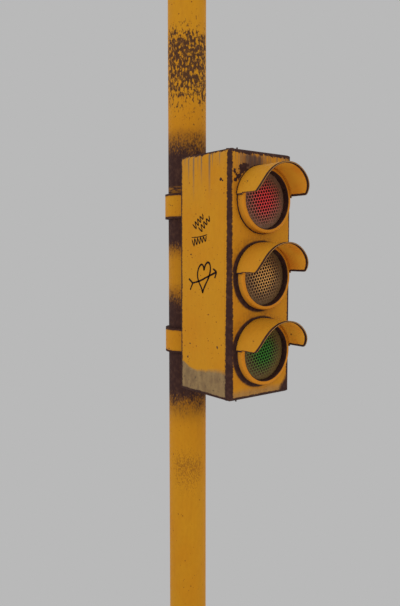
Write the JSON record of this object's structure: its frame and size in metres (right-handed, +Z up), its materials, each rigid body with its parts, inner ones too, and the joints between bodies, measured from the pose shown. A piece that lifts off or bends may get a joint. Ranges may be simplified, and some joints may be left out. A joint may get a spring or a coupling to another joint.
{
  "type": "pedestrian traffic light",
  "caption": "Round steel pole on a square base plate, with a tall box signal head clamped to its side, hooded round lenses in a hinged front door.",
  "frame": {"origin": "centre of the anchor bolt pattern, on the pole's axis at the underside of the base plate", "axes": "+Z up along the pole, the lenses face -Y, +X to the right of a viewer who looks along +Y at the lenses"},
  "size_m": [0.36, 0.7049, 3.602],
  "materials": {
    "pole_paint": "weathered yellow paint with rust-brown worn patches",
    "clamp_paint": "weathered yellow paint",
    "head_paint": "weathered ochre-yellow paint with dark worn edges",
    "visor_paint": "weathered ochre-yellow paint with dark worn rims",
    "fastener_steel": "dull zinc",
    "zinc_sheet": "galvanised sheet",
    "reflector_aluminium": "polished",
    "black_rubber": "matte",
    "black_plastic": "matte",
    "cream_plastic": "matte",
    "cable_sheath": "matte",
    "lamp_glass": "clear",
    "lens_red": "dusty satin, with a hexagonal grid of dark dots",
    "lens_amber": "dusty satin, with a hexagonal grid of dark dots",
    "lens_green": "dusty satin, with a hexagonal grid of dark dots"
  },
  "bodies": {
    "pole": {"pole_tube": "pole_paint", "base_plate": "pole_paint", "base_gussets": "pole_paint", "hand_hole_cover": "pole_paint", "cover_screws": "fastener_steel", "pole_cap": "pole_paint", "cap_screws": "fastener_steel", "pole_grommet": "black_rubber"},
    "head": {"upper_clamp": "clamp_paint", "lower_clamp": "clamp_paint", "clamp_bolts": "fastener_steel", "clamp_nuts": "fastener_steel", "bracket_bolts": "fastener_steel", "casing_back": "head_paint", "casing_sides": "head_paint", "casing_ends": "head_paint", "casing_lip": "head_paint", "casing_lugs": "head_paint", "casing_knuckles": "head_paint", "top_hub_plug": "fastener_steel", "bottom_hub_plug": "fastener_steel", "cable_gland": "black_plastic", "hinge_pins": "fastener_steel", "latch_pivots": "fastener_steel", "lamp_carrier": "zinc_sheet", "carrier_screws": "fastener_steel", "terminal_block": "cream_plastic", "wiring": "cable_sheath", "reflector_red": "reflector_aluminium", "reflector_amber": "reflector_aluminium", "reflector_green": "reflector_aluminium", "lampholder_red": "black_plastic", "lampholder_amber": "black_plastic", "lampholder_green": "black_plastic", "lamp_red": "lamp_glass", "lamp_amber": "lamp_glass", "lamp_green": "lamp_glass"},
    "door": {"door_panel": "head_paint", "door_gasket": "black_rubber", "latch_keepers": "fastener_steel", "lens_clips": "fastener_steel", "visor_screws": "fastener_steel", "bezel_red": "visor_paint", "bezel_amber": "visor_paint", "bezel_green": "visor_paint", "visor_red": "visor_paint", "visor_amber": "visor_paint", "visor_green": "visor_paint", "lens_red": "lens_red", "lens_amber": "lens_amber", "lens_green": "lens_green", "gasket_red": "black_rubber", "gasket_amber": "black_rubber", "gasket_green": "black_rubber"},
    "latch_top": {"latch_top": "fastener_steel"},
    "latch_bottom": {"latch_bottom": "fastener_steel"}
  },
  "joints": [
    {"name": "head_swivel", "type": "hinge", "parent": "pole", "child": "head", "pos_m": [0, 0, 2.498], "axis": [0, 0, 1], "range_deg": [-45, 45]},
    {"name": "door_swing", "type": "hinge", "parent": "head", "child": "door", "pos_m": [0.143, -0.37785, 2.498], "axis": [0, 0, 1], "range_deg": [0, 110]},
    {"name": "latch_top_turn", "type": "hinge", "parent": "head", "child": "latch_top", "pos_m": [-0.0945, -0.35985, 2.903], "axis": [0, 0, -1], "range_deg": [0, 90]},
    {"name": "latch_bottom_turn", "type": "hinge", "parent": "head", "child": "latch_bottom", "pos_m": [-0.0945, -0.35985, 2.097], "axis": [0, 0, -1], "range_deg": [0, 90]}
  ]
}
